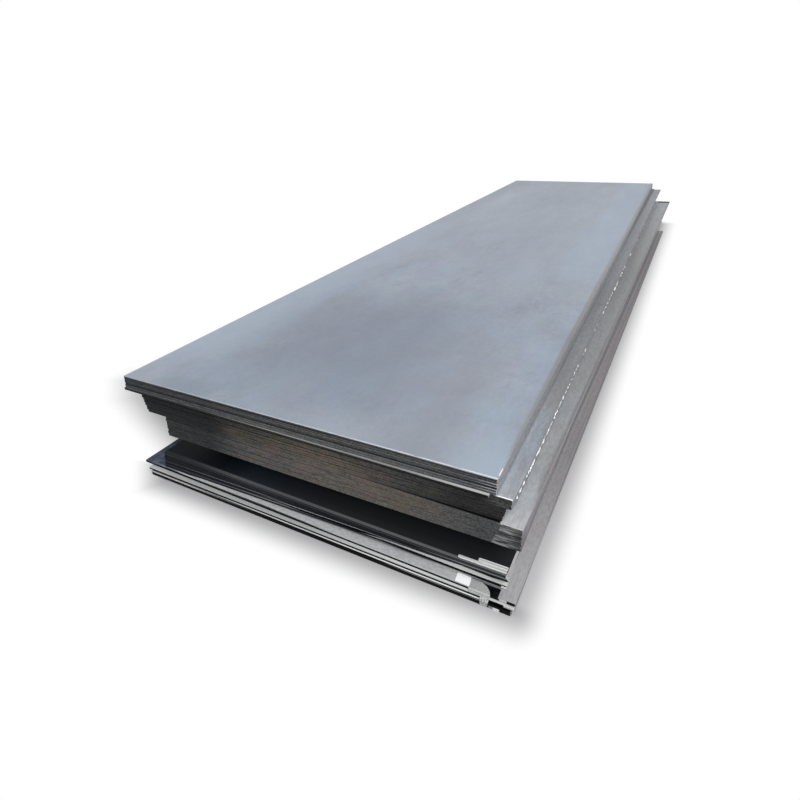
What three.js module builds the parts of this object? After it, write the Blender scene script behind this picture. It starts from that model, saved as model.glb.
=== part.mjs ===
// Yard stack of hot-rolled steel plates: several packs laid on one another, each pack shifted and
// slewed a little, with timber bearers that keep a gap for forks and slings.
// Millimetres, +Z up. X runs across the plates, Y along them, and the front end faces -Y.
// Places are measured from the top pack's front left corner, before the stack is centred.
import * as THREE from 'three';

// ---- Plate stock ----
const FULL_LENGTH = 6000;
const LEDGE_LENGTH = 5400;
const LOWER_LENGTH = 5800;
const MIDDLE_LENGTH = 5740;
const AIR_GAP = 0.3;             // between pieces that lie on one another
const CORNER_RADIUS = 4;         // of a plate's outline
const EDGE_ROUND = 0.8;          // sheared edge, top and bottom
const CORNER_STEPS = 3;

// ---- Packs, from the ground up ----
// first: number of the lowest plate's name. width: of the highest plate, and each plate below it
// loses the narrowing. across, front: middle of the front edge. slew: turn to the right in degrees.
// Pairs of values are for the lowest and the highest plate. jog: how far plates stand out of line.
// hollow: deepest point of a front edge that is cut out of true, from the middle of the edge.
const SHEETS = {
  name: 'base_plate', first: 1, count: 4, gauge: 4, width: 1486, length: FULL_LENGTH,
  across: [835, 835], front: [-42, -42], slew: [0.68, 0.68], narrowing: 0, jog: 0.5,
  color: 0x8e9196, roughness: 0.5,
};
const BASE_PLATE = {
  name: 'base_plate', first: 5, count: 1, gauge: 8, width: 1513, length: FULL_LENGTH,
  across: [829.5, 829.5], front: [-35.5, -35.5], slew: [0.67, 0.67], narrowing: 0, jog: 0,
  color: 0x8e9196, roughness: 0.5,
};
const LEDGE_PLATE = {
  name: 'ledge_plate', first: 1, count: 1, gauge: 8, width: 1557, length: LEDGE_LENGTH,
  across: [807.5, 807.5], front: [-20.5, -20.5], slew: [1.15, 1.15], narrowing: 0, jog: 0,
  color: 0x9da1a6, roughness: 0.5,
};
const STEP_PLATE = {
  name: 'lower_plate', first: 1, count: 1, gauge: 9, width: 1406, length: LOWER_LENGTH,
  across: [844, 844], front: [3.5, 3.5], slew: [-0.24, -0.24], narrowing: 0, jog: 0,
  hollow: { across: 283, depth: 12 }, color: 0x3a3c40, roughness: 0.55,
};
const LOWER_PACK = {
  name: 'lower_plate', first: 2, count: 6, gauge: 9, width: 1406, length: LOWER_LENGTH,
  across: [844, 844], front: [17.3, 0], slew: [-1.1, 0.55], narrowing: 0, jog: 1,
  color: 0x3a3c40, roughness: 0.55,
};
const MIDDLE_PACK = {
  name: 'middle_plate', first: 1, count: 9, gauge: 9.5, width: 1417, length: MIDDLE_LENGTH,
  across: [878, 870.5], front: [16, 16], slew: [0.1, 1.2], narrowing: 2.5, jog: 1.5,
  color: 0x6b6862, roughness: 0.6,
};
const UPPER_PACK = {
  name: 'upper_plate', first: 1, count: 5, gauge: 9, width: 1459, length: FULL_LENGTH,
  across: [803.5, 799.5], front: [14, 14], slew: [0.05, 0.2], narrowing: 7, jog: 1,
  color: 0x3c3d40, roughness: 0.55,
};
const COVER_PACK = {
  name: 'cover_plate', first: 1, count: 4, gauge: 9, width: 1493, length: FULL_LENGTH,
  across: [802.5, 795.5], front: [17, 17], slew: [0.25, 0.42], narrowing: 5, jog: 1,
  color: 0x45474a, roughness: 0.55,
};
const SLIPPED_PLATE = {
  name: 'slipped_plate', first: 1, count: 1, gauge: 9, width: 1494, length: FULL_LENGTH,
  across: [734, 734], front: [-4, -4], slew: [0.4, 0.4], narrowing: 0, jog: 0,
  color: 0x8a8d92, roughness: 0.5,
};
const TOP_PACK = {
  name: 'top_plate', first: 1, count: 6, gauge: 9, width: 1500, length: FULL_LENGTH,
  across: [750, 750], front: [0, 0], slew: [0, 0], narrowing: 0, jog: 1.2,
  color: 0x969faa, roughness: 0.4,
};

// ---- Loose flat offcuts on the lower pack's front right corner, the short one behind the long ----
const LONG_OFFCUT = { width: 149, depth: 12, thickness: 3 };
const SHORT_OFFCUT = { width: 90, depth: 15, thickness: 3 };
const OFFCUT_RIGHT = 1546;
const OFFCUT_FRONT = 0;

// ---- Timber bearers between the lower and the middle pack ----
const BEARER_HEIGHT = 85;
const BEARER_DEPTH = 95;
const BEARER_LENGTH = 1350;
const BEARER_CHAMFER = 4;
const BEARER_COUNT = 5;
const BEARER_ACROSS = 855;       // middle of each bearer
const BEARER_INSET = 320;        // end centre lines, from the ends of the pack they carry

const GOLDEN_RATIO = (1 + Math.sqrt(5)) / 2;

// A spread of values from -1 to 1 that never falls into step with the count.
function spread(index) {
  return 2 * ((index * GOLDEN_RATIO) % 1) - 1;
}

// Rectangle with rounded corners, its front edge centred on the origin.
function roundedRectangle(width, length, radius, hollow) {
  const half = width / 2;
  const outline = new THREE.Shape();
  outline.moveTo(-half + radius, 0);
  if (hollow) {
    outline.lineTo(hollow.across, hollow.depth);
  }
  outline.lineTo(half - radius, 0);
  outline.absarc(half - radius, radius, radius, -Math.PI / 2, 0);
  outline.lineTo(half, length - radius);
  outline.absarc(half - radius, length - radius, radius, 0, Math.PI / 2);
  outline.lineTo(-half + radius, length);
  outline.absarc(-half + radius, length - radius, radius, Math.PI / 2, Math.PI);
  outline.lineTo(-half, radius);
  outline.absarc(-half + radius, radius, radius, Math.PI, 1.5 * Math.PI);
  return outline;
}

// Cut plate lying on z = 0, with its sheared edges rounded over. The outline is the plate's full size.
function plateGeometry(width, length, thickness, hollow) {
  const inset = EDGE_ROUND;
  const radius = CORNER_RADIUS - inset;
  const outline = roundedRectangle(width - 2 * inset, length - 2 * inset, radius, hollow);
  const geometry = new THREE.ExtrudeGeometry(outline, {
    depth: thickness - 2 * inset,
    bevelThickness: inset,
    bevelSize: inset,
    bevelSegments: 1,
    curveSegments: CORNER_STEPS,
  });
  geometry.translate(0, inset, inset);
  return geometry;
}

// Sawn timber with its long edges chamfered, lying along X, its underside on z = 0.
function bearerGeometry() {
  const halfDepth = BEARER_DEPTH / 2;
  const section = new THREE.Shape([
    new THREE.Vector2(-halfDepth + BEARER_CHAMFER, 0),
    new THREE.Vector2(halfDepth - BEARER_CHAMFER, 0),
    new THREE.Vector2(halfDepth, BEARER_CHAMFER),
    new THREE.Vector2(halfDepth, BEARER_HEIGHT - BEARER_CHAMFER),
    new THREE.Vector2(halfDepth - BEARER_CHAMFER, BEARER_HEIGHT),
    new THREE.Vector2(-halfDepth + BEARER_CHAMFER, BEARER_HEIGHT),
    new THREE.Vector2(-halfDepth, BEARER_HEIGHT - BEARER_CHAMFER),
    new THREE.Vector2(-halfDepth, BEARER_CHAMFER),
  ]);
  const geometry = new THREE.ExtrudeGeometry(section, { depth: BEARER_LENGTH, bevelEnabled: false });
  geometry.rotateX(Math.PI / 2);
  geometry.rotateZ(Math.PI / 2);
  geometry.translate(-BEARER_LENGTH / 2, 0, 0);
  return geometry;
}

function steel(color, roughness) {
  return new THREE.MeshStandardMaterial({ color, roughness, metalness: 0.85 });
}

function timber() {
  return new THREE.MeshStandardMaterial({ color: 0x8a6f4d, roughness: 0.85, metalness: 0 });
}

function addMesh(name, geometry, material, x, y, z) {
  const mesh = new THREE.Mesh(geometry, material);
  mesh.name = name;
  mesh.position.set(x, y, z);
  stack.add(mesh);
  return mesh;
}

// Lays one pack from the height given and returns the height of its top face.
function layPack(pack, height) {
  for (let index = 0; index < pack.count; index += 1) {
    const level = pack.count > 1 ? index / (pack.count - 1) : 1;
    const at = (pair) => THREE.MathUtils.lerp(pair[0], pair[1], level);
    const width = pack.width - pack.narrowing * (pack.count - 1 - index);
    const plate = addMesh(
      `${pack.name}_${pack.first + index}`,
      plateGeometry(width, pack.length, pack.gauge, pack.hollow),
      steel(pack.color, pack.roughness),
      at(pack.across) + pack.jog * spread(index + 1),
      at(pack.front) + pack.jog * spread(index + 4),
      height + index * (pack.gauge + AIR_GAP),
    );
    plate.rotation.z = -THREE.MathUtils.degToRad(at(pack.slew));
  }
  return height + pack.count * pack.gauge + (pack.count - 1) * AIR_GAP;
}

// Bearers at an even pitch under the pack that they carry.
function layBearers(carried, height) {
  const pitch = (carried.length - 2 * BEARER_INSET) / (BEARER_COUNT - 1);
  for (let index = 0; index < BEARER_COUNT; index += 1) {
    const along = carried.front[0] + BEARER_INSET + index * pitch;
    addMesh(`bearer_${index + 1}`, bearerGeometry(), timber(), BEARER_ACROSS, along, height);
  }
  return height + BEARER_HEIGHT;
}

function layOffcut(name, size, front, height) {
  const across = OFFCUT_RIGHT - size.width / 2;
  const geometry = plateGeometry(size.width, size.depth, size.thickness);
  addMesh(name, geometry, steel(0xb4b7ba, 0.5), across, front, height);
}

const stack = new THREE.Group();
let height = 0;
for (const pack of [SHEETS, BASE_PLATE, LEDGE_PLATE, STEP_PLATE, LOWER_PACK]) {
  height = layPack(pack, height) + AIR_GAP;
}
layOffcut('long_offcut', LONG_OFFCUT, OFFCUT_FRONT, height);
layOffcut('short_offcut', SHORT_OFFCUT, OFFCUT_FRONT + LONG_OFFCUT.depth + AIR_GAP, height);
height = layBearers(MIDDLE_PACK, height) + AIR_GAP;
for (const pack of [MIDDLE_PACK, UPPER_PACK, COVER_PACK, SLIPPED_PLATE, TOP_PACK]) {
  height = layPack(pack, height) + AIR_GAP;
}

// The stack stands on z = 0, centred on its outer box.
stack.updateMatrixWorld(true);
const box = new THREE.Box3().setFromObject(stack, true);
const centre = box.getCenter(new THREE.Vector3());
stack.position.set(-centre.x, -centre.y, -box.min.z);

export default stack;
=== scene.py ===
"""A stack of hot-rolled steel plates in offset packs, on a pale studio floor."""
import math
import random

import bmesh
import bpy
from mathutils import Euler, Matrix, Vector


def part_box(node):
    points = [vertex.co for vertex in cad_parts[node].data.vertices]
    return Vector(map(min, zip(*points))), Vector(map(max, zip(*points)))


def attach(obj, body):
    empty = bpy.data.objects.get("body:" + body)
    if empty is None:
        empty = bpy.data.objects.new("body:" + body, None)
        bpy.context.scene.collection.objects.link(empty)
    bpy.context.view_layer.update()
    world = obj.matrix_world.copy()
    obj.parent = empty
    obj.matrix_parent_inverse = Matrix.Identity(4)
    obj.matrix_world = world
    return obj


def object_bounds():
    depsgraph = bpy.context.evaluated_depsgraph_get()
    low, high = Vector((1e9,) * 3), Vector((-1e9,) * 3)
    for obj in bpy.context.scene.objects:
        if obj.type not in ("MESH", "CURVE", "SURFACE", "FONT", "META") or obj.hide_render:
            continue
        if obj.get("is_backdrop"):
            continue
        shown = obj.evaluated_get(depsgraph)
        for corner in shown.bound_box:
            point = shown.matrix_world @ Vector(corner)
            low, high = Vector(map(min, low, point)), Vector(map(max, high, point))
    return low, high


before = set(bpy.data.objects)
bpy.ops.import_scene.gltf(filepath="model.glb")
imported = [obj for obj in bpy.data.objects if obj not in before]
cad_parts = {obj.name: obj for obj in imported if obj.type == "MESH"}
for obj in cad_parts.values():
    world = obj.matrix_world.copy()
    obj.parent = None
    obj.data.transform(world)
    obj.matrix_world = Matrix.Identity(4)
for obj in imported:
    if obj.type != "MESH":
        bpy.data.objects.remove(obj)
CAD_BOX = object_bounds()
MM = 0.001

# ---------------------------------------------------------------- the frame's own measures

NODES = sorted(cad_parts)
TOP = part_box("top_plate_6")
DATUM = Vector((TOP[0][0], TOP[0][1], TOP[1][2]))  # the top plate's front left corner


def at(x, y, z):
    """A place given in millimetres from the top plate's front left corner."""
    return DATUM + Vector((x, y, z)) * MM


def corner(node, right, back):
    """The corner of a plate that lies furthest to one side and end."""
    sx, sy = (1 if right else -1), (1 if back else -1)
    return max((v.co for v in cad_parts[node].data.vertices),
               key=lambda p: sx * p.x + sy * p.y).copy()


# ---------------------------------------------------------------- node helpers

def rgb(red, green, blue):
    """A colour written as 0 to 255 on the screen, as the linear colour that a socket takes."""
    def linear(c):
        c /= 255
        return c / 12.92 if c <= 0.04045 else ((c + 0.055) / 1.055) ** 2.4
    return (linear(red), linear(green), linear(blue), 1.0)


class Paint:
    """One material's node tree, with short names for what the looks are mixed from."""

    def __init__(self, name, metallic=0.0, specular=0.5):
        self.material = bpy.data.materials.new(name)
        self.material.use_nodes = True
        self.tree = self.material.node_tree
        self.shader = self.tree.nodes["Principled BSDF"]
        self.shader.inputs["Metallic"].default_value = metallic
        self.shader.inputs["Specular IOR Level"].default_value = specular
        self.place = self.new("ShaderNodeTexCoord").outputs["Object"]
        self.normal = self.new("ShaderNodeNewGeometry").outputs["Normal"]

    def new(self, kind):
        return self.tree.nodes.new(kind)

    def put(self, socket, value):
        if isinstance(value, bpy.types.NodeSocket):
            self.tree.links.new(value, socket)
        else:
            socket.default_value = value

    def math(self, op, a, b=0.0, c=0.0, clamp=False):
        node = self.new("ShaderNodeMath")
        node.operation, node.use_clamp = op, clamp
        for socket, value in zip(node.inputs, (a, b, c)):
            self.put(socket, value)
        return node.outputs[0]

    def times(self, *values):
        out = values[0]
        for value in values[1:]:
            out = self.math("MULTIPLY", out, value)
        return out

    def both(self, *masks):
        return self.times(*masks)

    def other(self, mask):
        return self.math("SUBTRACT", 1.0, mask)

    def centred(self, value, gain, middle=0.0, clamp=False):
        """A noise value taken about its middle: 0.5 becomes middle, and gain spreads the rest."""
        return self.math("MULTIPLY_ADD", self.math("SUBTRACT", value, 0.5), gain, middle, clamp)

    def most(self, *masks):
        out = masks[0]
        for mask in masks[1:]:
            out = self.math("MAXIMUM", out, mask)
        return out

    def step(self, value, low, high):
        """0 below low, 1 above high, and a smooth rise between them."""
        node = self.new("ShaderNodeMapRange")
        node.interpolation_type = "SMOOTHSTEP"
        flip = low > high
        self.put(node.inputs["Value"], value)
        self.put(node.inputs["From Min"], min(low, high))
        self.put(node.inputs["From Max"], max(low, high))
        self.put(node.inputs["To Min"], 1.0 if flip else 0.0)
        self.put(node.inputs["To Max"], 0.0 if flip else 1.0)
        return node.outputs["Result"]

    def band(self, value, low, high, soft):
        """1 between low and high, with soft ends."""
        above, below = self.math("SUBTRACT", value, low), self.math("SUBTRACT", high, value)
        return self.both(self.step(above, -soft, soft), self.step(below, -soft, soft))

    def mix(self, mask, a, b, blend="MIX"):
        """A colour between a and b."""
        node = self.new("ShaderNodeMix")
        node.data_type, node.blend_type = "RGBA", blend
        self.put(node.inputs["Factor"], mask)
        self.put(node.inputs[6], a)
        self.put(node.inputs[7], b)
        return node.outputs[2]

    def blend(self, mask, a, b):
        """A number between a and b."""
        node = self.new("ShaderNodeMix")
        node.data_type = "FLOAT"
        self.put(node.inputs[0], mask)
        self.put(node.inputs[2], a)
        self.put(node.inputs[3], b)
        return node.outputs[0]

    def stretch(self, x, y, z, shift=(0, 0, 0), vector=None):
        node = self.new("ShaderNodeMapping")
        self.put(node.inputs["Vector"], vector or self.place)
        node.inputs["Scale"].default_value = (x, y, z)
        node.inputs["Location"].default_value = shift
        return node.outputs[0]

    def noise(self, vector, scale=1.0, detail=2.0, rough=0.5, warp=0.0):
        node = self.new("ShaderNodeTexNoise")
        self.put(node.inputs["Vector"], vector)
        for name, value in (("Scale", scale), ("Detail", detail), ("Roughness", rough),
                            ("Distortion", warp)):
            node.inputs[name].default_value = value
        return node.outputs["Fac"]

    def dot(self, vector, direction, offset=0.0):
        node = self.new("ShaderNodeVectorMath")
        node.operation = "DOT_PRODUCT"
        self.put(node.inputs[0], vector)
        node.inputs[1].default_value = direction
        return self.math("ADD", node.outputs["Value"], offset) if offset else node.outputs["Value"]

    def axis(self, name):
        return self.dot(self.place, [1.0 if name == a else 0.0 for a in "xyz"])

    def through(self, value, stops, join):
        """Goes from stop to stop along value: stops are (value, level) in rising order."""
        out = stops[0][1]
        for (low, _), (high, level) in zip(stops, stops[1:]):
            node = self.new("ShaderNodeMapRange")
            self.put(node.inputs["Value"], value)
            node.inputs["From Min"].default_value, node.inputs["From Max"].default_value = low, high
            out = join(node.outputs["Result"], out, level)
        return out

    def ramp(self, value, stops):
        """A number that changes along value."""
        return self.through(value, stops, self.blend)

    def by_place(self, value, stops):
        """A colour that changes along value."""
        return self.through(value, stops, self.mix)

    def facing(self, direction, low, high):
        """1 on the faces that look one way. low, high: cosines between which it rises."""
        return self.step(self.dot(self.normal, direction), low, high)

    def bump(self, height, distance, strength):
        node = self.new("ShaderNodeBump")
        node.inputs["Strength"].default_value = strength
        node.inputs["Distance"].default_value = distance
        self.put(node.inputs["Height"], height)
        self.put(self.shader.inputs["Normal"], node.outputs["Normal"])

    def finish(self, colour, roughness):
        self.put(self.shader.inputs["Base Color"], colour)
        self.put(self.shader.inputs["Roughness"], roughness)
        return self.material


def dress(node, material):
    """Gives a node of the frame its material, through the object's own slots."""
    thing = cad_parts[node]
    for slot in thing.material_slots:
        slot.link = "OBJECT"
        slot.material = material


# ---------------------------------------------------------------- steel

class Plate(Paint):
    """A plate's material. Places are in millimetres: X, Y and Z from the top plate's front left corner,
    and distances in from the plate's own edges."""

    def __init__(self, node, metallic, specular):
        super().__init__("steel_" + node, metallic, specular)
        self.seed = sum(ord(c) * (i + 3) for i, c in enumerate(node))
        low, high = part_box(node)
        self.thick = (high[2] - low[2]) * 1000
        left, right = corner(node, False, False), corner(node, True, False)
        along = Vector((right.x - left.x, right.y - left.y, 0)).normalized()
        inward = Vector((-along.y, along.x, 0))

        def run(direction, start):
            return self.dot(self.place, direction * 1000, -direction.dot(start) * 1000)
        self.X, self.Y, self.Z = (run(Vector(v), DATUM) for v in ((1, 0, 0), (0, 1, 0), (0, 0, 1)))
        self.left = run(along, left)            # in from the left edge
        self.depth = run(inward, left)          # back from the front edge
        self.right = run(-along, right)         # in from the right edge
        self.rise = self.dot(self.place, (0, 0, 1000), -low[2] * 1000)  # up from the underside
        # by the way a face looks: the top face and its arris, the underside, then the right side, the far
        # end and the left side
        self.up = self.facing((0, 0, 1), 0.62, 0.85)
        self.down = self.facing((0, 0, -1), 0.8, 0.95)
        self.side = self.facing(along, 0.45, 0.62)
        self.back = self.facing(inward, 0.45, 0.62)
        self.end = self.facing(-along, 0.85, 0.95)

    def shifted(self, *scales, vector=None):
        """A stretched vector from a place of its own, so that no two noises or plates are alike."""
        self.seed += 1
        rng = random.Random(self.seed * 7919 + 13)
        return self.stretch(*scales, shift=[rng.uniform(-50, 50) for _ in range(3)], vector=vector)

    def rolled(self, dark, light, tint):
        """The rolled face: soft clouds and a fine mottle of mill scale, with faint tints of lilac, blue and
        green. The marks grow longer toward the plate's far end."""
        far = self.math("LOGARITHM", self.math("MULTIPLY_ADD", self.Y, 0.0004, 1.05), math.e)
        flat = self.new("ShaderNodeCombineXYZ")
        self.put(flat.inputs[0], self.times(self.X, 0.001))
        self.put(flat.inputs[1], self.times(far, 1.8))
        flat = flat.outputs[0]

        def marks(scale, detail):
            return self.noise(self.shifted(scale, scale, scale, vector=flat), 1.0, detail, 0.55)
        tone = self.math("MULTIPLY", marks(3.2, 2.0), 0.34)
        for scale, weight in ((12.0, 0.28), (44.0, 0.22), (110.0, 0.16)):
            tone = self.math("MULTIPLY_ADD", marks(scale, 3.0), weight, tone)
        lines = self.noise(self.shifted(60.0, 1.2, 46.0), 1.0, 2.0, 0.6)
        tone = self.centred(lines, 0.05, tone)
        tone = self.centred(tone, 3.2, 0.5, clamp=True)
        colour = self.mix(tone, dark, light)
        for tinge, scale in ((rgb(150, 148, 168), 4.5), (rgb(146, 168, 192), 6.0),
                             (rgb(146, 160, 164), 8.0)):
            colour = self.mix(self.times(self.step(marks(scale, 3.0), 0.40, 0.72), tint), colour, tinge)
        return colour, tone

    def sheared(self, dark, light):
        """The sheared edge: torn streaks and nicks along the plate."""
        drag = self.noise(self.shifted(24.0, 24.0, 230.0), 1.0, 3.0, 0.6)
        nick = self.noise(self.shifted(130.0, 130.0, 210.0), 1.0, 2.0, 0.6)
        speck = self.noise(self.shifted(210.0, 210.0, 240.0), 1.0, 1.0)
        tone = self.math("MULTIPLY_ADD", nick, 0.36, self.times(speck, 0.28))
        tone = self.math("MULTIPLY_ADD", drag, 0.36, tone)
        tone = self.centred(tone, 4.4, 0.5, clamp=True)
        return self.mix(tone, dark, light), tone

    def mottled(self, stops, warm, cool):
        """The scaled strip beside a pack: its level along the plate, stained in warm and cool patches."""
        colour = self.by_place(self.Y, stops)
        for wide, long, stain in ((26.0, 5.0, warm), (34.0, 4.0, cool)):
            patch = self.noise(self.shifted(wide, long, 20.0), 1.0, 3.0, 0.6)
            colour = self.mix(self.times(self.step(patch, 0.50, 0.66), 0.35), colour, stain)
        fine = self.noise(self.shifted(150.0, 40.0, 150.0), 1.0, 3.0, 0.65)
        return self.mix(1.0, colour, self.grey_of(self.centred(fine, 0.7, 1.0)), "MULTIPLY")

    def painted_light_by_side(self, colour, edge, slope, reach, share):
        """Paints light onto a strip close to the side of the pack that stands on it, against the shade that
        falls
        there. edge: the side's X at the front, slope: how X grows with Y, share: by how much, by Y."""
        away = self.math("SUBTRACT", self.X, self.math("MULTIPLY_ADD", self.Y, slope, edge))
        share = self.times(self.step(away, reach, 0), self.ramp(self.Y, share))
        return self.mix(1.0, colour, self.grey_of(self.math("ADD", share, 1.0)), "MULTIPLY")

    def by_row(self, value, pairs):
        """Dark and light shades that change along value: pairs are (value, (dark, light))."""
        return [self.by_place(value, [(x, c[k]) for x, c in pairs]) for k in (0, 1)]

    def grey_of(self, level):
        """A grey colour of a number."""
        node = self.new("ShaderNodeCombineColor")
        for socket in node.inputs:
            self.put(socket, level)
        return node.outputs[0]


def grey(level, blue=0.0):
    """A neutral shade, or one a little bluer (or browner, below zero)."""
    return rgb(level - blue * 0.6, level, level + blue)


def pair(level, spread, blue=0.0):
    return grey(level - spread, blue), grey(level + spread, blue)


FACE = (rgb(134, 142, 154), rgb(158, 166, 179))
FLANK = [(0, (rgb(104, 102, 106), rgb(136, 134, 138)))]


def plate(name, along, face=FACE, over=None, covered_shade=None, lip=None, foot=(1.2, 0.5), flank=FLANK,
          under=grey(46, 3), tint=0.35, extra=None, metallic=0.2, specular=0.04):
    """Dresses one plate. along, flank: the shades of its front by X, and of its sides and far end by Y.
    covered_shade: the top face's painted shade close behind the front, where the next plate covers it. lip,
    foot: the lines along the front's upper and lower edge, as (height, shade, strength by X) and (height,
    strength). over, extra: functions that add marks to the top face and to the front."""
    n = Plate(name, metallic, specular)
    top, tone = n.rolled(*face, tint)
    # painted shade: the top face is darker close behind the front, where the next plate covers it
    if covered_shade:
        top = n.mix(n.both(n.step(n.depth, 60, 30), 0.96), top, covered_shade)
    front, drag = n.sheared(*n.by_row(n.X, along))
    # the lines along the front waver by a fraction of a millimetre
    rise = n.math("ADD", n.rise, n.centred(n.noise(n.shifted(60.0, 60.0, 60.0), 1.0, 2.0), 1.6))
    high, strength = foot
    line = n.step(rise, high * 1.4, high * 0.5)
    front = n.mix(n.times(line, strength), front, grey(6, 2))
    if lip:
        high, shade, strength = lip
        line = n.step(rise, n.thick - high * 1.3, n.thick - high * 0.7)
        front = n.mix(n.times(line, n.ramp(n.X, strength)), front, shade)
    # the front darkens at its left corner, and the sides along their foot
    front = n.mix(n.times(n.step(n.left, 8, 2), 0.75), front, grey(8, 2))
    if extra:
        front = extra(n, front)
    aside, _ = n.sheared(*n.by_row(n.Y, flank))
    aside = n.mix(n.times(n.step(n.rise, 1.6, 0.5), 0.45), aside, grey(70, 1))
    colour = n.mix(n.most(n.side, n.back, n.end), front, aside)
    colour = n.mix(n.down, colour, under)
    colour = n.mix(n.up, colour, over(n, top) if over else top)
    rough = n.math("MULTIPLY_ADD", tone, -0.14, 0.56)
    n.bump(n.math("ADD", n.times(tone, 0.4), n.times(drag, 0.6)), 0.0005, 0.3)
    dress(name, n.finish(colour, rough))


def painted_sheen(n, colour):
    """The top plate's painted sheen: broad shades of painted reflection, darkest about the middle of its
    front half, paler to the back and along the left side, bluish in the corners, with a thin bright arris
    along the front, a painted highlight."""
    middle = n.both(n.band(n.X, 260, 1120, 240), n.band(n.Y, 150, 1300, 400))
    colour = n.mix(n.times(middle, 0.75), colour, rgb(123, 131, 145))
    colour = n.mix(n.times(n.step(n.Y, 1100, 3600), 0.5), colour, rgb(157, 164, 176))
    low_sheen = n.both(n.band(n.X, 880, 1080, 140), n.band(n.Y, 1700, 2500, 500))
    colour = n.mix(n.times(low_sheen, 0.5), colour, rgb(146, 154, 166))
    pale = n.both(n.band(n.X, 150, 330, 120), n.band(n.Y, 4000, 5100, 500))
    colour = n.mix(n.times(pale, 0.6), colour, rgb(175, 181, 193))
    along = n.both(n.step(n.X, 330, 40), n.band(n.Y, 260, 3200, 260))
    colour = n.mix(n.times(along, 0.65), colour, rgb(160, 172, 188))
    near = n.both(n.step(n.X, 1260, 1450), n.step(n.Y, 330, 20))
    colour = n.mix(n.times(near, 0.7), colour, rgb(162, 175, 188))
    glow = n.both(n.band(n.X, 850, 1120, 130), n.step(n.Y, 210, 40))
    colour = n.mix(n.times(glow, 0.35), colour, rgb(166, 174, 184))
    dim_sheen = n.both(n.band(n.X, 1170, 1310, 90), n.step(n.Y, 1150, 450))
    colour = n.mix(n.times(dim_sheen, 0.6), colour, rgb(139, 141, 150))
    dim_sheen = n.both(n.band(n.X, 170, 400, 80), n.step(n.Y, 150, 40))
    colour = n.mix(n.times(dim_sheen, 0.75), colour, rgb(128, 140, 152))
    haze = n.both(n.band(n.X, 1230, 1480, 90), n.step(n.Y, 1500, 2900))
    colour = n.mix(n.times(haze, 0.7), colour, rgb(156, 170, 187))
    inward = n.math("SUBTRACT", n.right, n.ramp(n.Y, [(200, 0), (1100, 9)]))
    fringe = n.both(n.step(inward, 14, 0), n.step(n.Y, 60, 200))
    colour = n.mix(n.times(fringe, 0.9), colour, n.by_place(n.Y, [
        (300, grey(138, 4)), (1100, grey(128, 1)), (2600, grey(142, 4)), (5500, grey(138, 7))]))
    rim = n.both(n.step(n.left, 9, 3), n.step(n.Y, 900, 300))
    colour = n.mix(n.times(rim, 0.7), colour, grey(186, 4))
    # the front arris: a painted highlight, broken in patches
    worn = n.noise(n.shifted(30.0, 30.0, 30.0), 1.0, 2.0)
    shine = n.by_place(n.X, [(0, grey(164, 8)), (700, grey(180, 8)), (1480, grey(214, 6))])
    arris = n.times(n.step(n.depth, 4.0, 1.2), n.step(worn, 0.25, 0.5), 0.85)
    colour = n.mix(arris, colour, shine)
    # a painted glint on the right edge near the front
    corner_glint = n.both(n.band(n.Y, 16, 52, 3), n.step(n.right, 2.6, 1.3))
    return n.mix(corner_glint, colour, grey(244))


def cover_strip(n, colour):
    """The cover pack's open strip, right of the top pack."""
    strip = n.mottled([(30, grey(166, 5)), (200, grey(160, 12)), (480, grey(156, 8)), (750, grey(139, 3)),
                       (1200, grey(138, 3)), (1800, grey(130, 3)), (2500, grey(138, 5)),
                       (5500, grey(161, 5))],
                      rgb(144, 139, 136), rgb(140, 152, 162))
    # painted light along the top pack's side, against the shade that falls beside it
    strip = n.painted_light_by_side(strip, 1497, 0.0, 24, [(60, 0.42), (400, 0.36), (900, 0.16), (5500, 0.12)])
    rim = n.times(n.step(n.right, 9, 1), n.ramp(n.Y, [(150, 0.0), (400, 0.3), (900, 0.2)]))
    strip = n.mix(rim, strip, grey(104, 3))
    # a painted highlight along the front edge at the right
    shine = n.both(n.step(n.depth, 3.0, 1.0), n.step(n.X, 1492, 1500))
    return n.mix(shine, strip, grey(242))


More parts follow.
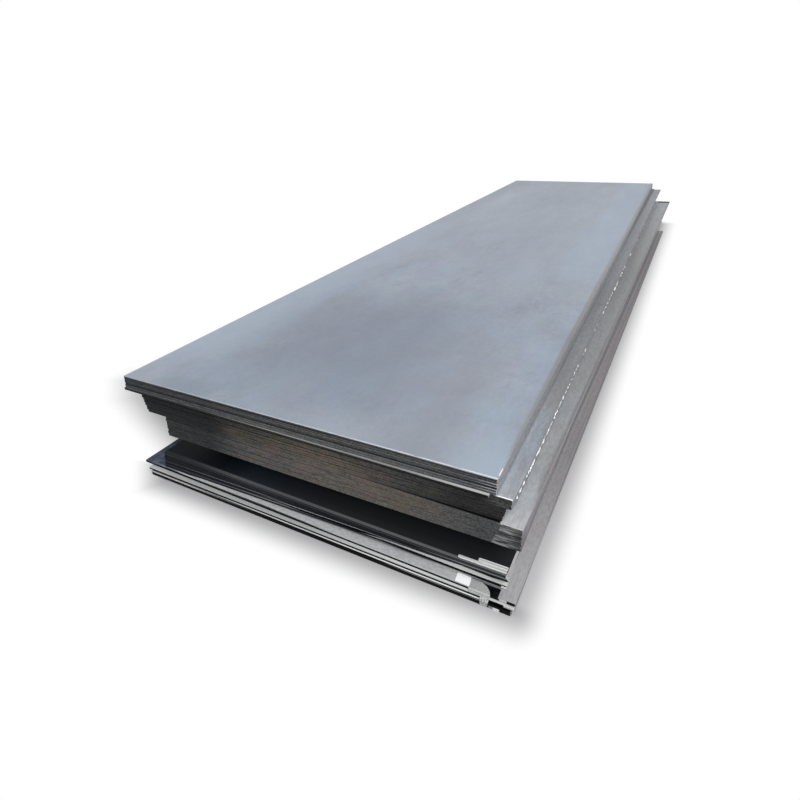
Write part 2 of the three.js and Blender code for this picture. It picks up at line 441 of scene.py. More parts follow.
def middle_strip(n, colour):
    """The middle pack's open strip, right of the packs above, and the painted shadow under them in front.
    """
    strip = n.mottled([(30, grey(182, 3)), (150, grey(173, 5)), (300, grey(165, 4)), (600, grey(160, 4)),
                       (1200, grey(151, 3)), (2700, grey(144, 2)), (5500, grey(174, 4))],
                      rgb(150, 145, 143), rgb(146, 154, 160))
    # painted light along the upper pack's side, against the shade that falls beside it
    strip = n.painted_light_by_side(strip, 1528, 0.0035, 46, [(0, 0.20), (400, 0.24), (2000, 0.32), (5500, 0.42)])
    # a painted shade line along the foot of that side, toward the front
    foot = n.both(n.step(n.math("SUBTRACT", n.X, n.math("MULTIPLY_ADD", n.Y, 0.0035, 1528)), 5, 3),
                  n.step(n.Y, 80, 130))
    strip = n.mix(n.times(foot, n.ramp(n.Y, [(600, 0.45), (1100, 0.0)])), strip, grey(98, 1))
    rim = n.both(n.step(n.right, 16, 2), n.step(n.Y, 60, 250))
    strip = n.mix(n.times(rim, n.ramp(n.Y, [(250, 0.45), (900, 0.5), (2500, 0.25)])), strip, grey(96, 1))
    # a black painted shadow line across the strip near its far end
    end = n.both(n.step(n.Y, 5646, 5654), n.step(n.X, 1590, 1596))
    strip = n.mix(n.times(end, 0.95), strip, grey(24, 2))
    # a painted highlight along its front edge at the right
    shine = n.both(n.step(n.depth, 3.0, 1.0), n.step(n.X, 1517, 1524))
    strip = n.mix(n.times(shine, 0.9), strip, grey(206))
    # painted shadow under the upper pack's front, nearly black, with a grey line along the front edge
    covered_shade = n.by_place(n.X, [(1130, grey(64)), (1300, grey(10, 1))])
    strip = n.mix(n.both(n.step(n.depth, 16, 10), n.step(n.X, 1517, 1511)), strip, covered_shade)
    return n.mix(n.both(n.step(n.depth, 3.4, 2.2), n.step(n.X, 1517, 1511)), strip, grey(60, 1))


def middle_lit_end(n, colour):
    """The middle pack's right end: right of a slant its front is painted paler and streaked, a painted
    patch of light beside the shadow edge that the pack above casts.
    """
    slant = n.math("MULTIPLY_ADD", n.Z, -0.3482, n.X)
    lit_streaks = n.noise(n.shifted(22.0, 22.0, 270.0), 1.0, 2.0, 0.6)
    pale = n.mix(n.step(lit_streaks, 0.41, 0.60), grey(50, 2), grey(136, 1))
    pale = n.mix(n.times(n.step(n.X, 1530, 1572), 0.75), pale, grey(42, 2))
    return n.mix(n.step(slant, 1570, 1574), colour, pale)


def stained(n, colour):
    """Rust-red and olive stains, low and long, over the middle of the packs' fronts."""
    here = n.band(n.X, 520, 1300, 120)
    streak = n.noise(n.shifted(30.0, 30.0, 200.0), 1.0, 2.0, 0.6)
    streak = n.math("MULTIPLY_ADD", streak, 0.8, 0.35, clamp=True)
    for shift, shade, strength in (((4.1, 0.0, 7.7), rgb(106, 84, 80), 0.5),
                                   ((9.3, 2.0, 1.4), rgb(88, 90, 70), 0.38)):
        patch = n.noise(n.stretch(9.0, 9.0, 26.0, shift=shift), 1.0, 2.0, 0.6)
        colour = n.mix(n.times(n.step(patch, 0.48, 0.68), here, streak, strength), colour, shade)
    return colour


def ledge_face(n, colour):
    """The ledge: a pale worn front strip with painted shade over its left corner, and a scaled strip down
    the right.
    """
    worn = n.noise(n.shifted(60.0, 200.0, 60.0), 1.0, 3.0, 0.65)
    front = n.mix(n.step(worn, 0.34, 0.66), grey(180, 2), grey(206, 3))
    front = n.mix(n.times(n.step(n.depth, 4.0, 1.6), 0.6), front, grey(212, 1))
    # behind a line that draws back to the right, painted half shadow darkens the strip, much at the left
    # and less so to the right
    line = n.ramp(n.X, [(430, 20.8), (810, 30.2), (975, 36.3), (1270, 39.2), (1400, 46)])
    dull = n.by_place(n.X, [(430, grey(50, 4)), (810, grey(98, 3)), (1130, grey(146, 2))])
    front = n.mix(n.step(n.math("SUBTRACT", n.depth, line), -0.9, 0.9), front, dull)
    line = n.ramp(n.X, [(300, 2.0), (650, 5.0), (1000, 0.0)])
    shade = n.both(n.step(n.math("SUBTRACT", n.depth, line), 0.4, -0.4), n.step(n.X, 1000, 850))
    front = n.mix(n.times(shade, 0.9), front, grey(16, 3))
    # painted shade over the left corner, under the packs that hang over it, mottled and bluish, with a
    # lighter line along the front
    shade_mottle = n.noise(n.shifted(40.0, 30.0, 40.0), 1.0, 3.0, 0.6)
    left_shade = n.mix(n.step(shade_mottle, 0.35, 0.65), grey(58, 12), grey(94, 16))
    line = n.both(n.step(n.depth, 9.4, 7.8), n.step(n.depth, 1.2, 2.6))
    lit = n.by_place(n.X, [(60, grey(90, 10)), (200, grey(140, 10)), (245, grey(212, 4))])
    dark = n.mix(n.step(n.X, 142, 150), left_shade, grey(8, 6))
    front = n.mix(n.step(n.X, 350, 260), front, n.mix(line, dark, lit))
    deep = n.mix(n.step(n.Y, 60, 260), left_shade, grey(26, 8))
    front = n.mix(n.both(n.step(n.Y, 30, 90), n.step(n.X, 300, 200)), front, deep)
    aside = n.mottled([(0, rgb(171, 170, 172)), (300, rgb(168, 168, 170)), (800, rgb(154, 151, 153)),
                       (1500, rgb(159, 155, 158)), (5400, rgb(161, 158, 161))],
                      rgb(162, 151, 154), rgb(154, 158, 164))
    # three long lines, a dark, a bright and a dark one, in from the outer edge by Y; the first, nearest the
    # middle pack, is a painted shade line along its foot
    broken = n.math("MULTIPLY_ADD", n.noise(n.shifted(30.0, 3.0, 30.0), 1.0, 3.0), 1.2, 0.3, clamp=True)
    far = n.step(n.Y, 350, 900)
    for places, width, strength, shade in (
            ([(300, 44), (1000, 53), (2300, 43), (5000, 38)], 6, 0.45, grey(118, 1)),
            ([(300, 38), (1000, 42), (2300, 33), (5000, 24)], 4, 0.5, grey(182, 1)),
            ([(300, 10), (1000, 14), (1500, 6), (2300, 20), (3200, 13), (5000, 14)], 4, 0.5, grey(126, 0))):
        gap = n.math("ABSOLUTE", n.math("SUBTRACT", n.right, n.ramp(n.Y, places)))
        aside = n.mix(n.times(n.step(gap, width, width * 0.3), broken, far, strength), aside, shade)
    aside = n.mix(n.times(n.step(n.right, 5, 1.5), n.step(n.Y, 260, 600), 0.5), aside, grey(100, 1))
    aside = n.mix(n.both(n.step(n.X, 1558, 1561), n.step(n.depth, 2.2, 1.4)), aside, grey(12))
    colour = n.mix(n.step(n.X, 1530, 1534), front, aside)
    # a painted shade line at the lower pack's foot, and a black painted shadow between the strip end and
    # the corner
    foot = n.both(n.step(n.X, 1430, 1450), n.step(n.X, 1535, 1530), n.step(n.Y, 1.6, 2.4))
    colour = n.mix(n.times(foot, 0.75), colour, grey(84, 3))
    strip_end_shadow = n.both(n.step(n.X, 1478, 1480), n.step(n.X, 1535, 1533), n.step(n.Y, 2.8, 1.2))
    return n.mix(strip_end_shadow, colour, n.mix(n.step(worn, 0.4, 0.6), grey(10, 2), grey(26, 3)))


def ledge_front(n, colour):
    """The ledge's front edge: black but for a bare patch near the right corner."""
    return n.mix(n.band(n.X, 1538, 1560, 1.5), colour, grey(172, 1))


def base_front(n, colour):
    """The upper base plate's front edge, bare at the right corner."""
    return n.mix(n.step(n.X, 1552, 1556), colour, grey(186, 1))


def sheet_front(n, colour):
    """A lower sheet's front edge, bare beside the strip end's tab."""
    bare = n.by_place(n.X, [(1522, grey(128)), (1530, grey(216))])
    return n.mix(n.band(n.X, 1512, 1544, 2), colour, bare)


def worn_lip(n, front):
    """The top plate's front edge: the arris is worn broad toward the right corner."""
    worn = n.band(n.rise, n.thick - 4.6, n.thick - 1.8, 0.5)
    worn = n.both(worn, n.ramp(n.X, [(1150, 0.0), (1334, 0.35), (1460, 0.75)]))
    return n.mix(worn, front, grey(190, 6))


def slipped_face(n, top):
    """The slipped plate's top: an open front rim, and a duller one past the top pack's right side."""
    rim = n.by_place(n.X, [(0, grey(68)), (260, grey(58)), (413, grey(84)), (554, grey(120)),
                           (729, grey(158)), (1209, grey(158)), (1334, grey(188)), (1430, grey(206))])
    return n.mix(n.step(n.depth, 12, 20), rim, n.mix(n.step(n.X, 1488, 1494), top, grey(128, 4)))


def offcut_face(n, top):
    """An offcut's top: a little darker to the right, with a bright arris along its front and back."""
    top = n.mix(n.times(n.step(n.X, 1470, 1540), 0.7), top, grey(176, 1))
    front, back = (side[1] * 1000 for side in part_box("long_offcut"))
    middle = n.band(n.depth, 3.0, back - front - 3.0, 0.8)
    return n.mix(n.times(n.other(middle), 0.8), top, grey(250))


def lined(lip=None, foot=None, high=3.6):
    """Worn lines along a front's upper edge and its foot, each as shades by X."""
    def extra(n, front):
        for stops, line in ((lip, n.step(n.rise, n.thick - high - 0.6, n.thick - high + 0.6)),
                            (foot, n.step(n.rise, high + 0.6, high - 0.6))):
            if stops:
                front = n.mix(line, front, n.by_place(n.X, [(x, grey(level, 4)) for x, level in stops]))
        return front
    return extra


def bare_corner(n, front):
    """The lowest plate of the lower pack: a worn foot line, and a bare right corner."""
    front = lined(foot=[(450, 46), (822, 96), (1136, 104), (1250, 34), (1380, 150)], high=3.2)(n, front)
    return n.mix(n.both(n.step(n.right, 16, 11), n.step(n.rise, 2.4, 3.4)), front, grey(214, 1))


def lower_rim(n, top):
    """The lowest plate of the lower pack stands out in front: a bright rim between two dark lines, painted
    near white toward the right as painted light.
    """
    front = n.ramp(n.X, [(440, 1.0), (640, 5.0), (806, 1.5), (1040, 1.5), (1136, 12.5), (1250, 11.0),
                         (1400, 6.0), (1498, 4.4)])
    back = n.ramp(n.X, [(640, 18.5), (806, 8.5), (1040, 9.5), (1136, 18.5), (1280, 18.5), (1400, 22.0),
                        (1498, 17.5), (1530, 20.5)])
    rim = n.by_place(n.X, [(440, grey(80, 4)), (640, grey(130, 4)), (1040, grey(108, 4)),
                           (1136, grey(180, 4)), (1250, grey(240, 3)), (1400, grey(255, 1)),
                           (1490, grey(250, 1)), (1530, grey(206, 1))])
    return n.mix(n.band(n.depth, front, back, 0.8), grey(18), rim)


def lower_top_shaded(n, top):
    """The lower pack's top face in the gap: a painted shadow, nearly black, behind its paler front rim."""
    depth = n.math("ADD", n.depth, n.ramp(n.X, [(300, 0), (800, 3), (1400, 5)]))
    rim = n.by_place(n.X, [(200, grey(36, 4)), (320, grey(56, 2)), (520, grey(94, 2)),
                           (850, grey(96, 2)), (1300, grey(108, 2))])
    gap_shadow = n.by_place(n.X, [(300, grey(12, 8)), (420, grey(18, 7)), (560, grey(42, 8)),
                              (900, grey(42, 3))])
    return n.mix(n.step(depth, 13, 17), rim, gap_shadow)


def base_face(n, top):
    """The base plate's open front rim, with a bright arris."""
    rim = n.by_place(n.X, [(850, grey(182, 1)), (1200, grey(222, 1)), (1480, grey(224, 1)),
                           (1545, grey(196))])
    return n.mix(n.times(n.step(n.depth, 4.0, 1.5), 0.5), rim, grey(216, 1))


def sheet_face(n, top):
    """The highest sheet's open front rim, dark along its arris and at its right corner."""
    dark = n.most(n.step(n.X, 1507, 1511),
                  n.both(n.step(n.depth, 1.7, 0.9), n.step(n.X, 280, 480)),
                  n.times(n.step(n.depth, 2.0, 3.2), n.step(n.X, 620, 420), 0.75))
    rim = n.by_place(n.X, [(150, grey(190)), (840, grey(226)), (1200, grey(250))])
    return n.mix(dark, rim, grey(6))


# the worn lines on the lower pack's fronts, by plate: (X, shade)
LOWER_LIPS = {3: [(240, 70), (620, 124), (760, 24)], 4: [(1250, 26), (1420, 120)],
              6: [(900, 24), (1200, 60), (1400, 40)]}
LOWER_FEET = {3: [(620, 24), (800, 190), (990, 170), (1250, 66)], 5: [(1250, 26), (1420, 150)]}
BARE = [(0, (rgb(168, 167, 170), rgb(208, 207, 210)))]  # the sides of the lower pack
TOP_LEVELS = {6: 52, 5: 70, 4: 66, 3: 42, 2: 76, 1: 84}  # the level of the top pack's fronts, by plate
DULL = grey(20)                                          # the undersides of the base


for name in NODES:
    kind, number = name.rsplit("_", 1) if name[-1].isdigit() else (name, "0")
    number = int(number)
    if kind == "top_plate":
        level = TOP_LEVELS[number]
        shades = [(x, pair(level * share, 19, blue)) for x, share, blue in
                  ((200, 0.80, 3), (420, 0.86, 1), (900, 1.03, 0), (1209, 1.05, 1), (1450, 0.88, 4))]
        brown = [(30, pair(152, 15, 4)), (150, pair(138, 15, 2)), (300, pair(135, 15, 1)),
                 (1000, pair(122, 14)), (2700, pair(139, 14, 2))]
        if number == 6:
            # its front carries a painted highlight along the upper arris, brightest to the right
            plate(name, shades, over=painted_sheen, flank=brown, metallic=0.3, specular=0.3, foot=(2.8, 0.85),
                  lip=(2.0, grey(196, 9), [(0, 0.45), (700, 0.7), (1480, 1.0)]), extra=worn_lip)
        elif number == 5:
            plate(name, shades, covered_shade=grey(40), flank=brown, foot=(1.4, 0.5),
                  lip=(2.8, grey(14, 4), [(0, 0.3), (350, 1.0), (900, 0.9), (1100, 0.3), (1480, 0.1)]))
        else:
            plate(name, shades, covered_shade=grey(40), flank=brown, foot=(1.4, 0.6),
                  lip=(2.2, grey(156, 3), [(0, 0.05), (1100, 0.15), (1436, 0.3), (1476, 1.0)]))
    elif kind == "slipped_plate":
        plate(name, [(300, pair(20, 8)), (850, pair(38, 12, -3)), (1460, pair(24, 10))], over=slipped_face,
              lip=(2.2, grey(150), [(400, 0.1), (600, 0.3), (900, 0.35), (1200, 0.3), (1430, 0.5)]))
    elif kind == "cover_plate":
        tones = [(420, pair(28, 11, 1)), (560, pair(54, 18, -3)), (890, pair(74, 20, -7)),
                 (1209, pair(60, 18)), (1450, pair(36, 14)), (1500, pair(52, 30))]
        if number == 4:
            # a painted highlight along the front's upper edge at the right end
            plate(name, tones, over=cover_strip, lip=(1.7, grey(236), [(1488, 0.0), (1500, 1.0)]),
                  flank=[(60, pair(158, 10, 7)), (300, pair(136, 10, 5)), (900, pair(121, 12, 4)),
                         (2000, pair(136, 12, 4)), (5500, pair(148, 12, 4))])
        else:
            plate(name, tones, covered_shade=grey(46),
                  flank=[(0, pair(132, 12, 5)), (900, pair(124, 12, 4)), (2000, pair(132, 12, 4)),
                         (5500, pair(144, 12, 4))])
    elif kind == "upper_plate":
        plate(name, [(250, pair(32, 9, 1)), (420, pair(32, 9, 1)), (600, pair(60, 20, -4)),
                     (960, pair(78, 24, -8)), (1209, pair(57, 18)), (1400, pair(39, 14))],
              covered_shade=grey(38), foot=(1.2, 0.4), extra=stained,
              flank=[(60, pair(150, 10, 6)), (900, pair(128, 12, 3)), (5500, pair(140, 12, 3))])
    elif kind == "middle_plate":
        pale = 96 + 4 * number
        plate(name, [(420, pair(42, 18, 1)), (560, pair(70, 24, 1)), (900, pair(81, 25, -3)),
                     (1209, pair(79, 24, -6)), (1334, pair(76, 20, -1)), (1450, pair(67, 20, 1))],
              over=middle_strip if number == 9 else None, covered_shade=None if number == 9 else grey(64),
              foot=(1.6, 0.7) if number == 1 else (1.2, 0.08),
              # undersides painted near black: painted shade in the gap below
              under=grey(18, 2), extra=lambda n, front: middle_lit_end(n, stained(n, front)),
              flank=[(0, (rgb(pale - 14, pale - 20, pale - 14), rgb(pale + 16, pale + 11, pale + 16)))],
              # a painted highlight along the front's upper edge at the right end
              lip=(1.8, grey(196), [(1510, 0.0), (1522, 1.0)]) if number == 9 else None)
    elif kind == "lower_plate" and number == 1:
        plate(name, [(200, pair(20, 7, 2)), (1100, pair(20, 7, 3)), (1300, pair(8, 5, 2))],
              over=lower_rim, flank=BARE, foot=(1.0, 0.0), extra=bare_corner, metallic=0.0)
    elif kind == "lower_plate" and number == 7:
        plate(name, [(450, pair(30, 9, 4)), (640, pair(48, 10, 4)), (850, pair(32, 9, 4))],
              face=pair(80, 12, 3), tint=0.0, over=lower_top_shaded, flank=BARE, foot=(1.0, 0.0),
              extra=lined(foot=[(300, 50), (645, 66), (850, 54), (1400, 66)]))
    elif kind == "lower_plate":
        plate(name, [(450, pair(28, 9, 5)), (640, pair(40, 12, 4)), (800, pair(28, 9, 4))],
              face=pair(60, 10, 3), tint=0.0, covered_shade=grey(20, 4), flank=BARE, foot=(1.6, 0.5),
              extra=lined(LOWER_LIPS.get(number), LOWER_FEET.get(number), 2.6 if number == 3 else 3.6))
    # the ledge's and the base plates' fronts are painted mostly near black: painted shade lines between the
    # pale rims
    elif kind == "ledge_plate":
        plate(name, [(0, pair(7, 5))], over=ledge_face, under=DULL, foot=(1.0, 0.0), extra=ledge_front)
    elif kind == "base_plate" and number == 5:
        plate(name, [(0, pair(7, 5))], over=base_face, under=DULL, foot=(1.0, 0.0), extra=base_front)
    elif kind == "base_plate" and number == 4:
        plate(name, [(300, pair(150, 20)), (640, pair(5, 4)), (1150, pair(5, 4)), (1270, pair(105, 25)),
                     (1490, pair(90, 25)), (1512, pair(6, 4))],
              over=sheet_face, under=DULL, foot=(1.0, 0.0))
    elif kind == "base_plate":
        plate(name, [(0, pair(6, 5))], covered_shade=DULL, under=DULL, foot=(1.0, 0.0),
              extra=sheet_front if number < 3 else None)
    elif kind.endswith("offcut"):
        plate(name, [(0, pair(158, 24, 2))], face=pair(214, 8, 1), tint=0.05, foot=(0.8, 0.3),
              specular=0.3, over=offcut_face)

# ---------------------------------------------------------------- timber bearers

for name in NODES:
    if not name.startswith("bearer"):
        continue
    n = Paint("timber_" + name, 0.0, 0.3)
    grain = n.noise(n.stretch(5.0, 120.0, 120.0, (int(name[-1]) * 3.7, 0, 0)), 1.0, 4.0, 0.6, 0.6)
    stain = n.noise(n.stretch(9.0, 9.0, 9.0, (int(name[-1]) * 1.3, 2, 0)), 1.0, 2.0)
    colour = n.mix(grain, rgb(58, 46, 36), rgb(122, 100, 78))
    colour = n.mix(n.times(n.step(stain, 0.45, 0.7), 0.6), colour, rgb(48, 44, 40))
    n.bump(grain, 0.001, 0.6)
    dress(name, n.finish(colour, n.math("MULTIPLY_ADD", grain, -0.15, 0.85)))

# ---------------------------------------------------------------- own pieces

def piece(name, work, material):
    """Makes one own piece of a bmesh in part-frame metres. It rides on the root body."""
    mesh = bpy.data.meshes.new(name)
    bmesh.ops.recalc_face_normals(work, faces=work.faces)
    work.to_mesh(mesh)
    work.free()
    thing = bpy.data.objects.new(name, mesh)
    bpy.context.scene.collection.objects.link(thing)
    mesh.materials.append(material)
    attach(thing, "root")


def laid(work, rows, thick):
    """A thin closed skin over rows of places, with its underside on them. thick is in millimetres."""
    under = [[work.verts.new(at(*p)) for p in row] for row in rows]
    over = []
    for i, row in enumerate(rows):
        ahead, behind = rows[min(i + 1, len(rows) - 1)], rows[max(i - 1, 0)]
        line = []
        for j, p in enumerate(row):
            run = Vector(ahead[j]) - Vector(behind[j])
            across = Vector(row[-1]) - Vector(row[0])
            out = across.cross(run).normalized()
            out = -out if out.z < 0 or (abs(out.z) < 0.05 and out.y > 0) else out
            line.append(work.verts.new(at(*(Vector(p) + out * thick))))
        over.append(line)
    count = len(rows[0])
    for grid in (under, over):
        for a, b in zip(grid, grid[1:]):
            for j in range(count - 1):
                work.faces.new((a[j], a[j + 1], b[j + 1], b[j]))
    rim = under[0] + [r[-1] for r in under[1:]] + under[-1][-2::-1] + [r[0] for r in under[-2:0:-1]]
    skin = over[0] + [r[-1] for r in over[1:]] + over[-1][-2::-1] + [r[0] for r in over[-2:0:-1]]
    for k in range(len(rim)):
        m = (k + 1) % len(rim)
        work.faces.new((rim[k], rim[m], skin[m], skin[k]))


def spread(left, right, y, z, count, lift=0.0):
    """One row of places from left to right, raised a little by lift in its middle."""
    row = []
    for k in range(count):
        t = k / (count - 1)
        row.append((left + (right - left) * t, y, z + lift * math.sin(math.pi * t)))
    return row


LEDGE_TOP = -387.35  # Z of the ledge's top face, with a hair's breadth of clearance

# a blank paper label, flat on the ledge with its back edge in the gap under the lower pack
LABEL = {"left": 1401, "right": 1446, "front": -28, "length": 35, "rows": 13, "thick": 0.16}
paper = Paint("label_paper", 0.0, 0.2)
fibre = paper.noise(paper.stretch(900.0, 900.0, 900.0), 1.0, 3.0, 0.6)
crease = paper.noise(paper.stretch(60.0, 60.0, 60.0), 1.0, 2.0)
paper.bump(paper.math("ADD", fibre, crease), 0.0002, 0.3)
paper.finish(paper.mix(fibre, rgb(250, 250, 250), rgb(255, 255, 255)), 0.8)
work = bmesh.new()
rows = []
for k in range(LABEL["rows"]):
    t = k / (LABEL["rows"] - 1)
    trim = 1.2 * max(0.0, 1 - min(t, 1 - t) * 24)  # cut corners
    row = spread(LABEL["left"] - 3 * t + trim, LABEL["right"] - 4 * t - trim, 0, LEDGE_TOP, 15)
    askew = 2 / (LABEL["right"] - LABEL["left"])
    rows.append([(x, LABEL["front"] + LABEL["length"] * t - askew * (x - LABEL["left"]), z)
                 for x, _, z in row])
laid(work, rows, LABEL["thick"])
piece("label", work, paper.material)

# a thin strip end that lies on the ledge and bends over its front, and the tab that hangs below it
strip = Paint("strip_steel", 0.3, 0.3)
weave = strip.noise(strip.stretch(420.0, 420.0, 420.0), 1.0, 2.0, 0.6)
cloud = strip.noise(strip.stretch(70.0, 70.0, 70.0), 1.0, 2.0)
colour = strip.mix(strip.step(weave, 0.3, 0.7), rgb(164, 165, 166), rgb(202, 204, 203))
colour = strip.mix(strip.times(strip.step(cloud, 0.45, 0.7), 0.4), colour, rgb(168, 170, 168))
# faces that look forward are painted darker: painted shade
colour = strip.mix(strip.times(strip.facing((0, -1, 0.35), 0.5, 0.8), 0.6), colour, rgb(148, 150, 149))
speck = strip.noise(strip.stretch(240.0, 240.0, 240.0, (3, 7, 1)), 1.0, 2.0, 0.6)
low = strip.step(strip.axis("z"), at(0, 0, -392).z, at(0, 0, -398).z)
colour = strip.mix(strip.times(strip.step(speck, 0.56, 0.62), low), colour, rgb(70, 72, 72))
strip.bump(weave, 0.0003, 0.4)
strip.finish(colour, 0.55)
# rows of the flap and the tab: from X, to X, Y, and the drop below the ledge's top or Z
FLAP = ((1452, 1473, 2.5, 0), (1449, 1481, -0.5, 0), (1448, 1488, -4.0, 0), (1448, 1495, -9.0, 0),
        (1447, 1501, -15.0, 0), (1447, 1506, -22.0, 0), (1447, 1509, -29.0, 0), (1446, 1511, -34.4, 0),
        (1446, 1511, -36.4, -2.2), (1446, 1512, -37.2, -6.4), (1446, 1512, -38.2, -8.3),
        (1447, 1512, -42.4, -8.3))
TAB = ((1484, 1511, -40.5, -395.0), (1484, 1511, -43.2, -395.4), (1485, 1510, -46.6, -399.4),
       (1485, 1510, -50.1, -403.6), (1486, 1509, -50.5, -406.5), (1486, 1509, -50.6, -413.0),
       (1487, 1508, -50.6, -420.2))
work = bmesh.new()
laid(work, [spread(a, b, y, LEDGE_TOP + drop, 15, 0.15) for a, b, y, drop in FLAP], 0.7)
laid(work, [spread(a, b, y, z, 9) for a, b, y, z in TAB], 0.6)
piece("strip_end", work, strip.material)

# the bright, broken burr that the shears left along the cover pack's right side
burr = Paint("burr_steel", 0.1, 0.5)
# its white patches are painted glints
painted_glint = burr.noise(burr.stretch(60.0, 62.0, 60.0, (4, 1, 7)), 1.0, 2.0, 0.6)
torn = burr.noise(burr.stretch(300.0, 120.0, 300.0, (2, 5, 9)), 1.0, 2.0)
burr.bump(torn, 0.0004, 0.5)
bright = burr.math("MULTIPLY_ADD", torn, 0.3, burr.times(painted_glint, 0.7))
burr.finish(burr.mix(burr.step(bright, 0.43, 0.54), rgb(152, 155, 158), rgb(255, 255, 255)), 0.5)
# by stretch, in millimetres: on which plate, from and to where, its middle above the plate's underside,
# half its height, how far it stands out, then the longest run and the longest gap
BURR = ((2, 46, 170, 0.0, 8.5, 3.8, 38, 16), (2, 170, 487, 1.0, 10.0, 4.4, 110, 12),
        (2, 487, 610, -1.0, 6.0, 3.6, 40, 26),
        (3, 534, 785, 2.0, 8.0, 3.2, 70, 16), (2, 813, 932, 3.5, 7.0, 3.2, 45, 18),
        (3, 903, 1007, 3.0, 7.0, 3.2, 45, 18), (3, 1102, 1206, 2.0, 8.0, 3.4, 50, 14),
        (2, 1300, 1385, 3.0, 5.0, 2.6, 24, 50), (1, 1447, 1608, 7.0, 6.0, 3.4, 60, 60),
        (2, 1707, 1806, 1.0, 11.0, 4.2, 70, 20), (1, 1820, 2142, 6.0, 8.0, 5.5, 60, 34),
        (1, 2147, 2350, 3.5, 8.0, 10.0, 80, 20), (1, 2463, 2775, 3.5, 7.0, 10.0, 50, 80),
        (1, 3000, 4373, 3.5, 7.0, 10.0, 90, 700))
SHORTEST_RUN = 14  # millimetres
RING_PITCH = 9
floor_of_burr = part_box("cover_plate_1")[0][2] + 0.0005  # it stays above the middle pack's top
rng = random.Random(43)
work = bmesh.new()
for number, reach, last, up, half, out, long, gap in BURR:
    host = f"cover_plate_{number}"
    start, end, low = corner(host, True, False), corner(host, True, True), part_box(host)[0][2]
    along = (end - start).normalized()
    outward = Vector((along.y, -along.x, 0))
    # runs and gaps of chance lengths. A run is a ribbon of four-cornered rings that swells from its ends.
    while reach < last - SHORTEST_RUN:
        run = min(rng.uniform(0.35, 1.0) * long, last - reach)
        steps = max(4, round(run / RING_PITCH))
        rings = []
        for k in range(steps + 1):
            t = k / steps
            swell = min(1.0, 0.2 + 3.2 * min(t, 1 - t)) * rng.uniform(0.45, 1.0)
            base = start + along * (reach + run * t) * MM
            middle = up + rng.uniform(-0.25, 0.25) * half
            tall, wide = half * swell, out * (0.4 + 0.6 * swell)
            ring = []
            for x, z in ((-0.3, tall), (wide * 0.8, tall * 0.5), (wide, -tall * 0.5), (-0.3, -tall)):
                place = base + outward * x * MM
                place.z = max(floor_of_burr, low + (middle + z) * MM)
                ring.append(work.verts.new(place))
            rings.append(ring)
        for a, b in zip(rings, rings[1:]):
            for k in range(4):
                m = (k + 1) % 4
                work.faces.new((a[k], a[m], b[m], b[k]))
        work.faces.new(rings[0][::-1])
        work.faces.new(rings[-1])
        reach += run + rng.uniform(0.3, 1.0) * gap
piece("shear_burr", work, burr.material)

# ---------------------------------------------------------------- camera

# solved from the edges of the top plate in the photograph
CAMERA_FROM_DATUM = (1805.994, -1276.763, 947.689)  # millimetres
CAMERA_TURN = (66.4508, 2.5151, 30.0019)            # degrees
CAMERA_LENS = 25.302                                # millimetres, on a sensor 36 mm wide
CAMERA_SHIFT = (0.0683, -0.0625)
lens = bpy.data.cameras.new("camera")
lens.sensor_width, lens.lens = 36.0, CAMERA_LENS
lens.shift_x, lens.shift_y = CAMERA_SHIFT
lens.clip_start, lens.clip_end = 0.05, 60
camera = bpy.data.objects.new("camera", lens)
camera.location = at(*CAMERA_FROM_DATUM)
camera.rotation_euler = Euler([math.radians(a) for a in CAMERA_TURN], "XYZ")
bpy.context.scene.collection.objects.link(camera)
bpy.context.scene.camera = camera
bpy.context.scene.view_settings.view_transform = "Standard"

# ---------------------------------------------------------------- floor, world and lamps

# where the white glow painted on the floor starts to cover its shadow, and within what reach the shadow is
# gone under it, in millimetres. The reach on the right grows with Y.
FADE = {"left": 130, "right": 1594, "front": -32, "back": 5900}
GONE = {"left": 100, "right": [(0, 96), (6000, 230)], "front": 140, "back": 220}
PAPER = (0.54, 0.54, 0.55, 1)        # as the camera sees it
# PAPER_NEAR darkens the paper near the front as painted shade
PAPER_NEAR = (0.43, 0.43, 0.44, 1)   # under the shadow in front, which the photograph has darker
PAPER_LIGHT = (0.72, 0.72, 0.72, 1)  # as it lights the stack
bpy.ops.mesh.primitive_plane_add(size=60, location=(0, 0, 0))
floor = bpy.context.object
floor.name = "floor"
floor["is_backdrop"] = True
n = Paint("floor_paper", 0.0, 0.0)
n.shader.inputs["Roughness"].default_value = 1.0
path = n.new("ShaderNodeLightPath")
x = n.math("SUBTRACT", n.times(n.axis("x"), 1000), DATUM.x * 1000)
y = n.math("SUBTRACT", n.times(n.axis("y"), 1000), DATUM.y * 1000)
# the paper glows white beyond a short reach of the stack, so the soft shadow's fading edge is painted
right = n.math("DIVIDE", n.math("SUBTRACT", x, FADE["right"]), n.ramp(y, GONE["right"]))
left = n.math("DIVIDE", n.math("SUBTRACT", FADE["left"], x), GONE["left"])
# round the front left corner it ends along a line at an angle
diagonal = n.math("MULTIPLY_ADD", x, -0.0044, n.math("MULTIPLY_ADD", y, -0.005, 0.647))
turn = n.step(y, 60, 0)
left = n.blend(turn, left, diagonal)
front = n.math("DIVIDE", n.math("SUBTRACT", FADE["front"], y), GONE["front"])
back = n.math("DIVIDE", n.math("SUBTRACT", y, FADE["back"]), GONE["back"])
aside, ahead = (n.math("MAXIMUM", n.most(*two), 0.0) for two in ((right, left), (front, back)))
reach = n.math("SQRT", n.math("ADD", n.times(aside, aside), n.times(ahead, ahead)))
reach = n.blend(n.both(turn, n.step(x, 400, 200)), reach, n.most(aside, ahead))
beyond = n.step(reach, 0.0, 1.0)
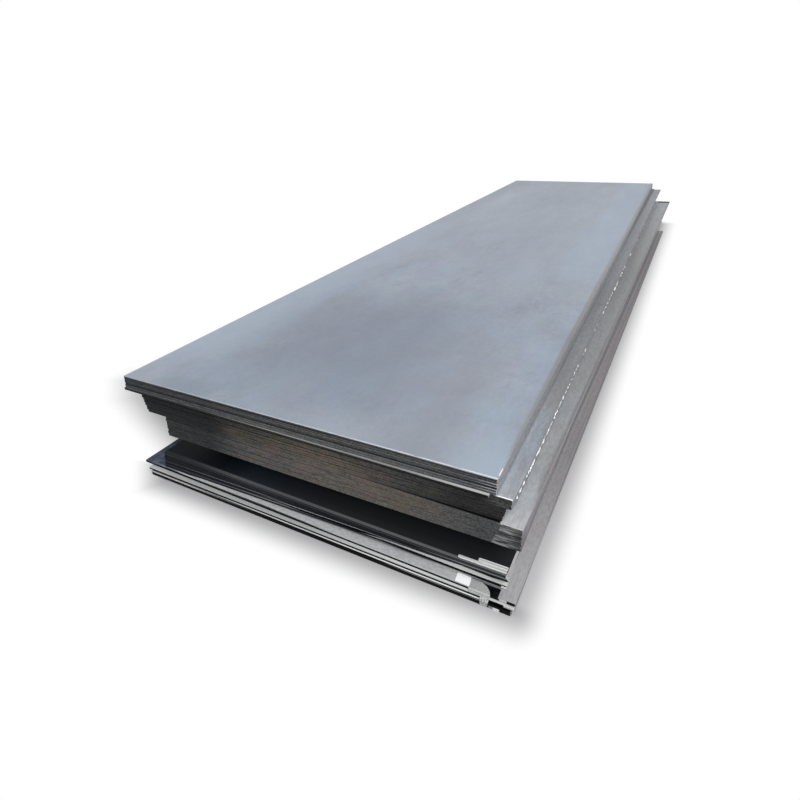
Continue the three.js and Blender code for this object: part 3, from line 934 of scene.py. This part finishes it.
# on the left the packs hang over, and the painted glow ends their shadow in front along two slanting lines,
# and further back along the stack, where the photograph doesn't show the floor, at an even reach
slant = n.math("MULTIPLY_ADD", x, 0.358, n.times(y, 0.934))
steep = n.math("MULTIPLY_ADD", x, 0.748, n.times(y, 0.934))
along = n.both(n.step(x, -380, -690), n.step(y, 500, 700))
beyond = n.times(beyond, n.most(n.step(slant, 262, 38), n.step(steep, 82, -216), n.step(x, 60, 100),
                                n.step(x, -560, -900), along, n.step(y, 5700, 6200)))
seen = n.most(*(path.outputs[f"Is {kind} Ray"] for kind in ("Camera", "Glossy", "Transmission")))
white = n.times(seen, beyond)
near = n.both(n.step(y, 10, -30), n.step(x, 1700, 1560))
lit = n.mix(path.outputs["Is Camera Ray"], PAPER_LIGHT, n.mix(near, PAPER, PAPER_NEAR))
n.put(n.shader.inputs["Base Color"], n.mix(white, lit, (0, 0, 0, 1)))
n.shader.inputs["Emission Color"].default_value = (1, 1, 1, 1)
n.put(n.shader.inputs["Emission Strength"], white)
floor.data.materials.append(n.material)

# the backdrop: plain white where it is seen or mirrored, and a dimmer light on the stack
WORLD_LIGHT, WORLD_SEEN = 0.48, 1.0
world = bpy.data.worlds.new("studio")
bpy.context.scene.world = world
world.use_nodes = True
nodes, links = world.node_tree.nodes, world.node_tree.links
rays = nodes.new("ShaderNodeLightPath").outputs
seen = rays["Is Camera Ray"]
for ray in ("Is Glossy Ray", "Is Transmission Ray"):
    either = nodes.new("ShaderNodeMath")
    either.operation = "MAXIMUM"
    links.new(seen, either.inputs[0])
    links.new(rays[ray], either.inputs[1])
    seen = either.outputs[0]
level = nodes.new("ShaderNodeMapRange")
level.inputs["To Min"].default_value, level.inputs["To Max"].default_value = WORLD_LIGHT, WORLD_SEEN
links.new(seen, level.inputs["Value"])
nodes["Background"].inputs["Color"].default_value = (1, 1, 1, 1)
links.new(level.outputs["Result"], nodes["Background"].inputs["Strength"])

# name, place and aim in metres, size in metres, power in watts
LAMPS = (("key", (9.0, -5.0, 10.0), (0.0, -1.5, 0.0), 6.0, 750),
         ("fill", (2.4, -9.6, 6.2), (0.0, -2.0, 0.2), 5.0, 450))
for name, place, aim, size, watts in LAMPS:
    light = bpy.data.lights.new(name, "AREA")
    light.shape, light.size, light.energy = "DISK", size, watts
    thing = bpy.data.objects.new(name, light)
    thing.location = place
    thing.rotation_euler = (Vector(aim) - Vector(place)).to_track_quat("-Z", "Y").to_euler()
    bpy.context.scene.collection.objects.link(thing)

size = {"cad": [list(v) for v in CAD_BOX], "visual": [list(v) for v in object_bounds()]}
